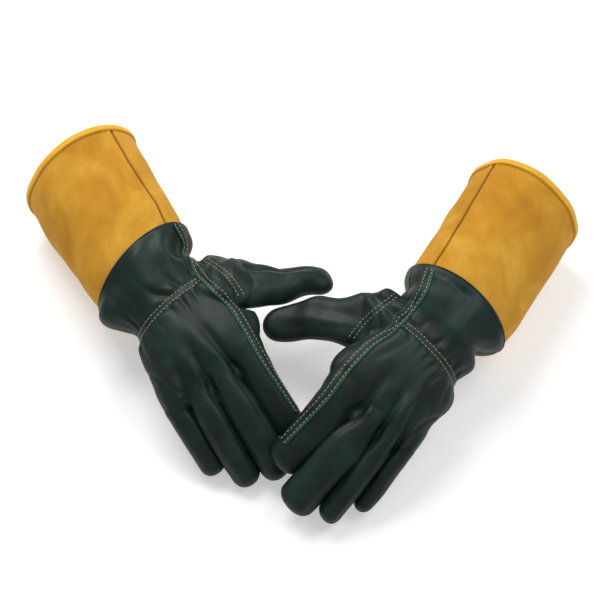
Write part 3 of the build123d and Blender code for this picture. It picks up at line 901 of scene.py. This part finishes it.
def band(glove, arc, profile, count=300, wobble=0.0):
    """A closed band along an arc round the cuff, from a profile of (beyond the arc, out of the suede)."""
    angle = np.arange(count) / count * 2 * math.pi
    centre, outward = cuff_place(glove, angle, np.ones(count), arc)
    inner, _ = cuff_place(glove, angle, np.full(count, 0.97), arc)
    beyond = unit(centre - inner)
    ripple = 1 + wobble * np.sin(angle * 37 + 2 * np.sin(angle * 5))
    rings = [centre + beyond * a + outward * (b * ripple)[:, None] for a, b in profile]
    points = np.stack(rings, 1).reshape(-1, 3)
    middle_along, middle_out = np.mean(profile, axis=0)
    hub = np.repeat(centre + beyond * middle_along + outward * middle_out, len(profile), axis=0)
    faces = facing(points, unit(points - hub), grid_faces(count, len(profile), closed=True, joined=True))
    return cuff_turned(points, glove), faces


def round_profile(centre_along, centre_out, radius, count=10):
    """A round profile for a band."""
    turns = [2 * math.pi * i / count for i in range(count)]
    return [(centre_along + radius * math.cos(a), centre_out + radius * math.sin(a)) for a in turns]


# ---------------------------------------------------------------- materials

def srgb(*levels):
    """A screen colour of 0 to 255 as linear light."""
    return tuple((c / 255 / 12.92) if c <= 10 else ((c / 255 + 0.055) / 1.055) ** 2.4 for c in levels)


GREEN = dict(base=srgb(12, 31, 27), light=srgb(22, 48, 42), dark=srgb(7, 21, 18), raw_edge=srgb(27, 84, 71))


class Nodes:
    """A short way to write a material's nodes."""

    def __init__(self, name):
        self.material = bpy.data.materials.new(name)
        self.material.use_nodes = True
        self.tree = self.material.node_tree
        self.shader = self.tree.nodes["Principled BSDF"]
        self.place = self.add("ShaderNodeTexCoord").outputs["Object"]

    def add(self, kind, **settings):
        node = self.tree.nodes.new(kind)
        for key, value in settings.items():
            setattr(node, key, value)
        return node

    def put(self, socket, value):
        if isinstance(value, bpy.types.NodeSocket):
            self.tree.links.new(value, socket)
        else:
            socket.default_value = value

    def set(self, **values):
        for key, value in values.items():
            self.put(self.shader.inputs[key.replace("_", " ")], value)

    def stretched(self, scale):
        node = self.add("ShaderNodeMapping")
        self.put(node.inputs["Vector"], self.place)
        node.inputs["Scale"].default_value = scale
        return node.outputs["Vector"]

    def texture(self, kind, size_mm, place=None):
        node = self.add(kind)
        self.put(node.inputs["Vector"], place or self.place)
        node.inputs["Scale"].default_value = 1 / (size_mm * MM)
        return node

    def noise(self, size_mm, detail=3.0, rough=0.55, distortion=0.0, place=None):
        node = self.texture("ShaderNodeTexNoise", size_mm, place)
        for key, value in (("Detail", detail), ("Roughness", rough), ("Distortion", distortion)):
            node.inputs[key].default_value = value
        return node.outputs["Fac"]

    def cells(self, size_mm):
        return self.texture("ShaderNodeTexVoronoi", size_mm).outputs["Distance"]

    def math(self, operation, a, b=0.0, clamp=False):
        node = self.add("ShaderNodeMath", operation=operation, use_clamp=clamp)
        self.put(node.inputs[0], a)
        self.put(node.inputs[1], b)
        return node.outputs[0]

    def ramp(self, value, stops):
        node = self.add("ShaderNodeValToRGB")
        self.put(node.inputs["Fac"], value)
        while len(node.color_ramp.elements) < len(stops):
            node.color_ramp.elements.new(0.5)
        for element, (at, color) in zip(node.color_ramp.elements, stops):
            element.position = at
            element.color = (*color, 1) if isinstance(color, tuple) else (color, color, color, 1)
        return node.outputs["Color"]

    def mix(self, share, a, b):
        node = self.add("ShaderNodeMix", data_type="RGBA")
        self.put(node.inputs["Factor"], share)
        self.put(node.inputs["A"], a if isinstance(a, bpy.types.NodeSocket) else (*a, 1))
        self.put(node.inputs["B"], b if isinstance(b, bpy.types.NodeSocket) else (*b, 1))
        return node.outputs["Result"]

    def attribute(self, name):
        return self.add("ShaderNodeAttribute", attribute_name=name).outputs["Fac"]

    def bump(self, height, distance_mm, strength=1.0, under=None):
        node = self.add("ShaderNodeBump")
        self.put(node.inputs["Height"], height)
        node.inputs["Distance"].default_value = distance_mm * MM
        node.inputs["Strength"].default_value = strength
        if under:
            self.put(node.inputs["Normal"], under)
        return node.outputs["Normal"]


def green_leather(name, has_raw_edge=False):
    """Smooth dyed grain leather: fine pebble, soft colour drift, a painted highlight on the ridges and a low
    satin shine.
    With has_raw_edge it is lighter where the strip's cut side shows.
    """
    light = GREEN["light"]
    made = Nodes(name)
    drift = made.noise(26, 3.0, 0.6)
    cast = made.noise(7, 2.0)
    color = made.ramp(drift, [(0.3, GREEN["dark"]), (0.52, GREEN["base"]), (0.75, light)])
    color = made.mix(made.math("MULTIPLY", cast, 0.25), color, light)
    # painted highlight: the colour is made lighter where the leather's relief stands out, where light would
    # catch the folds
    ridge_highlight = made.attribute("ridge")
    color = made.mix(made.math("MULTIPLY", ridge_highlight, 0.35, clamp=True), color, light)
    if has_raw_edge:
        color = made.mix(made.attribute("raw"), color, GREEN["raw_edge"])
    pebble = made.cells(1.5)
    fine = made.noise(0.8, 2.0)
    height = made.math("ADD", made.math("MULTIPLY", pebble, 0.6), made.math("MULTIPLY", fine, 0.4))
    crease = made.noise(4.5, 4.0, 0.6, 0.6, made.stretched((1.0, 0.55, 1.0)))
    normal = made.bump(crease, 0.35, 0.6)
    made.set(Base_Color=color, Roughness=made.math("ADD", made.math("MULTIPLY", cast, 0.12), 0.44),
             Normal=made.bump(height, 0.08, 0.5, normal), Specular_IOR_Level=0.3)
    return made.material


def suede_leather(name):
    """Brushed split leather: mottled nap with darker strokes, a fuzzy sheen and a brown seam."""
    made = Nodes(name)
    mottle = made.noise(38, 4.0, 0.55, 0.6, made.stretched((1.0, 0.7, 1.0)))
    strokes = made.noise(6, 3.0, 0.6, 0.4, made.stretched((1.0, 0.4, 1.0)))
    speck = made.noise(0.9, 3.0, 0.7)
    tans = (srgb(178, 121, 32), srgb(200, 144, 44), srgb(216, 164, 62))
    color = made.ramp(mottle, list(zip((0.28, 0.48, 0.68), tans)))
    stroked = made.ramp(strokes, [(0.35, 0.0), (0.75, 1.0)])
    color = made.mix(made.math("MULTIPLY", stroked, 0.3), color, srgb(184, 128, 38))
    color = made.mix(made.math("MULTIPLY", speck, 0.18), color, srgb(172, 116, 32))
    color = made.mix(made.attribute("seam"), color, srgb(112, 66, 16))
    nap = made.noise(0.7, 4.0, 0.75)
    normal = made.bump(strokes, 0.5, 0.35)
    made.set(Base_Color=color, Roughness=0.95, Normal=made.bump(nap, 0.25, 0.6, normal),
             Specular_IOR_Level=0.15, Sheen_Weight=0.2, Sheen_Roughness=0.55,
             Sheen_Tint=(*srgb(255, 214, 130), 1))
    return made.material


def binding_tape(name):
    """Folded woven tape, with fine cross ribs."""
    made = Nodes(name)
    weave = made.cells(0.8)
    drift = made.noise(14, 2.0)
    color = made.ramp(drift, [(0.3, srgb(226, 168, 34)), (0.7, srgb(236, 184, 52))])
    color = made.mix(made.math("MULTIPLY", weave, 0.35), color, srgb(226, 160, 20))
    made.set(Base_Color=color, Roughness=0.62, Normal=made.bump(weave, 0.12, 0.6),
             Specular_IOR_Level=0.35, Sheen_Weight=0.15)
    return made.material


def thread_of(name, light, dark):
    """Twisted sewing thread."""
    made = Nodes(name)
    twist = made.noise(0.7, 2.0)
    made.set(Base_Color=made.ramp(twist, [(0.3, dark), (0.65, light)]), Roughness=0.6,
             Normal=made.bump(twist, 0.12, 0.5))
    return made.material


# ---------------------------------------------------------------- camera, light and floor

def facing_object(data, place, target):
    """A camera or lamp at a place in the scene, looking at the target."""
    made = bpy.data.objects.new(data.name, data)
    made.location = place
    made.rotation_mode = "QUATERNION"
    made.rotation_quaternion = (target - Vector(place)).to_track_quat("-Z", "Y")
    bpy.context.scene.collection.objects.link(made)
    return made


def camera_and_stage():
    """The camera of the reference view, the glowing white floor, the sky and the lamps."""
    between = (GLOVES["right"]["frame"][0] + GLOVES["left"]["frame"][0]) / 2
    target = Vector((between + AIM_FROM_WRISTS) * MM)
    elevation = math.radians(CAMERA["elevation"])
    back = Vector((0, -math.cos(elevation), math.sin(elevation)))
    data = bpy.data.cameras.new("camera")
    data.lens = CAMERA["lens"]
    data.sensor_width = CAMERA["sensor"]
    data.shift_y = CAMERA["shift"]
    scene = bpy.context.scene
    scene.camera = facing_object(data, target + back * CAMERA["distance"], target)
    white = Nodes("floor")
    white.set(Base_Color=(0.7, 0.7, 0.7, 1), Roughness=0.8, Emission_Color=(1, 1, 1, 1),
              Emission_Strength=FLOOR_GLOW)
    corners = [(x * FLOOR_REACH, y * FLOOR_REACH, 0) for x, y in ((-1, -1), (1, -1), (1, 1), (-1, 1))]
    floor = mesh_object("floor", corners, [(0, 1, 2, 3)], white.material, False)
    world = bpy.data.worlds.new("world")
    world.use_nodes = True
    sky = world.node_tree.nodes["Background"]
    sky.inputs["Color"].default_value = (1, 1, 1, 1)
    sky.inputs["Strength"].default_value = WORLD_LIGHT
    scene.world = world
    scene.view_settings.view_transform = "Standard"
    for place, size, power in LAMPS:
        light = bpy.data.lights.new("light", "AREA")
        light.size = size
        light.energy = power
        facing_object(light, place, target)


# ---------------------------------------------------------------- one glove

LEATHER_NODES = {
    "hand": ("back_panel", "palm_panel", "root_back", "root_palm", "wrist_elastic"),
    "sleeve": ("sleeve_back", "sleeve_palm"),
    "thumb": ("thumb_back", "thumb_palm"),
    "index": ("index_back", "index_palm", "index_fourchette"),
    "middle": ("middle_back", "middle_palm", "middle_fourchettes"),
    "ring": ("ring_back", "ring_palm", "ring_fourchettes"),
    "little": ("little_back", "little_palm", "little_fourchette"),
}


def leather_pieces(glove, points, faces, zones, normals, relief, material):
    """The green leather as one closed piece for each zone, with no gap between them at rest."""
    # how far the leather stands out, used as the mask of the painted highlight on its ridges
    ridge = np.clip(relief / FULL_RIDGE, 0, 1)
    for zone, nodes in LEATHER_NODES.items():
        mine = faces[zones == zone]
        piece = skin_object(glove, f"{zone}_leather", points, normals, mine, WALL, material, ridge=ridge)
        hang(glove, piece, zone)
        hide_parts(*[f"{glove['side']}_{node}" for node in nodes])


def strip_line(glove, skin):
    """The palm leather's raw edge on the back of the glove, from the sleeve's end to the index tip."""
    digit = digit_of(glove, "index")
    side, ahead = digit_axes(digit)
    plan = list(glove["strip"])
    for along in STRIP_ON_INDEX:
        forward, _, _ = digit_line(digit, along)
        across = digit["half_width"] * float(digit_scale(digit, along)) * glove["strip_share"]
        place = np.array(digit["base"], float) + ahead * forward + side * across
        plan.append((place[0], place[1]))
    line = smooth_line(plan, LINE_STEP)
    return np.array([skin.below(x, y)[0] for x, y in line])


def strip_and_stitches(glove, skin, leather, thread):
    """The palm leather's turned edge on the back, in one piece for each zone, and its two stitch rows."""
    line = softened(strip_line(glove, skin), 6)
    places, normals = march(skin, line, STRIP_STEPS, (1, 0, -0.3))
    places = places + normals * np.array(STRIP_HEIGHTS)[None, :, None]
    # the raw edge itself goes straight down into the leather below it
    edge = places[:, :1] - normals[:, :1] * STRIP_EDGE
    grid = np.concatenate([edge, places], 1)
    grid_normals = np.concatenate([normals[:, :1], normals], 1)
    rows, columns = grid.shape[:2]
    flat, flat_normals = grid.reshape(-1, 3), grid_normals.reshape(-1, 3)
    faces = facing(flat, flat_normals, grid_faces(rows, columns))
    zones = zones_of(glove, line)
    smooth_normals = vertex_normals(flat, faces)
    face_rows = faces.min(1) // columns
    raw = np.tile(np.array([1.0, 1.0, 1.0, 0.5] + [0.0] * (columns - 4)), rows)
    for zone in ("sleeve", "hand", "index"):
        mine = faces[zones[face_rows] == zone]
        piece = skin_object(glove, f"strip_{zone}", flat, smooth_normals, mine, STRIP_WALL, leather,
                            raw=raw, ridge=np.zeros(len(flat)))
        hang(glove, piece, zone)
    stitches = []
    for number, row in enumerate(STRIP_ROWS):
        column = STRIP_STEPS.index(row)
        up = normals[:, column]
        stitches.append(stitch_row("strip", places[:, column] + up * 0.15, up, glove["seed"] + number))
    sew(glove, "strip", stitches, thread, {"hand": "strip_stitch", "index": "index_stitch"})


def wrist_stitches(glove, skin, thread):
    """The two rows along the gathered wrist line, over the back of the wrist."""
    rows = []
    for number, reach in enumerate(GATHER_ROWS):
        line, normals = [], []
        for angle in np.radians(np.linspace(*WRIST_ROW_TURN, 105)):
            y = 0.0
            for _ in range(3):
                place, normal = skin.outwards((WRIST_X, y, 0), (math.cos(angle), 0, math.sin(angle)))
                y = reach * math.hypot(1, WRIST_LEAN) + WRIST_LEAN * (place[0] - WRIST_X)
            line.append(place)
            normals.append(normal)
        line, normals = softened(np.array(line), 4), unit(softened(np.array(normals), 6))
        rows.append(stitch_row("wrist", line + normals * 0.2, normals, glove["seed"] + 70 + number))
    sew(glove, "wrist", rows, thread, {"hand": "wrist_stitch"})


def thumb_stitches(glove, skin, thread):
    """The two rows that close the thumb's root seam."""
    rows = []
    for number, offset in enumerate((0, THUMB_ROWS)):
        line = smooth_line([(x + offset * 0.9, y + offset * 0.2) for x, y in glove["thumb_seam"]], LINE_STEP)
        found = [skin.below(x, y) for x, y in line]
        places = softened(np.array([place for place, _ in found]), 4)
        normals = unit(softened(np.array([normal for _, normal in found]), 6))
        rows.append(stitch_row("thumb", places + normals * 0.2, normals, glove["seed"] + 80 + number))
    sew(glove, "thumb", rows, thread, {"hand": "root_stitch"})


def cuff_trim(glove, binding, thread, leather):
    """The rim's binding and stitch row, and the rolled hem of the sleeve."""
    points, faces = band(glove, glove["rim_arc"], BINDING_PROFILE, wobble=0.02)
    piece = glove_object(glove, "rim_binding", points, faces, binding)
    hang(glove, piece, "cuff")
    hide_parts(f"{glove['side']}_cuff_binding")
    angle = np.linspace(0, 2 * math.pi, 400)
    distance, bulge, skew = glove["rim_arc"]
    places, outward = cuff_place(glove, angle, np.ones(len(angle)), (distance - RIM_STITCHES, bulge, skew))
    places, outward = cuff_turned(places, glove), cuff_turned(outward, glove)
    row = stitch_row("rim", places + outward * 0.1, outward, glove["seed"] + 90)
    points, faces = capsules(*row, *STITCHES["rim"][1:])
    piece = glove_object(glove, "rim_stitches", points, faces, thread)
    hang(glove, piece, "cuff")
    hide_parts(f"{glove['side']}_cuff_stitch")
    points, faces = band(glove, glove["sleeve_arc"], round_profile(0.2, 2.3, 1.2))
    # the rolled hem's lighter tint is partly the folded edge's own colour and partly a painted highlight
    # where light catches the fold
    lighter = {"raw": np.full(len(points), 0.35)}
    piece = glove_object(glove, "sleeve_hem", points, faces, leather, values=lighter)
    hang(glove, piece, "cuff")


# ---------------------------------------------------------------- the pair

for side, glove in GLOVES.items():
    glove["side"] = side
    glove["frame"] = glove_frame(side, glove)

camera_and_stage()
leather = green_leather("green_leather")
edge_leather = green_leather("green_leather_edge", has_raw_edge=True)
suede = suede_leather("suede")
tape = binding_tape("binding_tape")
cream = thread_of("cream_thread", srgb(172, 170, 138), srgb(118, 120, 94))
brown = thread_of("brown_thread", srgb(168, 112, 34), srgb(110, 68, 18))
for side, glove in GLOVES.items():
    points, faces, face_zones, normals, relief = body_mesh(glove)
    leather_pieces(glove, points, faces, face_zones, normals, relief, leather)
    skin = Skin(points, faces)
    strip_and_stitches(glove, skin, edge_leather, cream)
    wrist_stitches(glove, skin, cream)
    thumb_stitches(glove, skin, cream)
    for name in ("main_panel", "gusset"):
        cuff_panel(glove, name, suede)
    cuff_trim(glove, tape, brown, edge_leather)
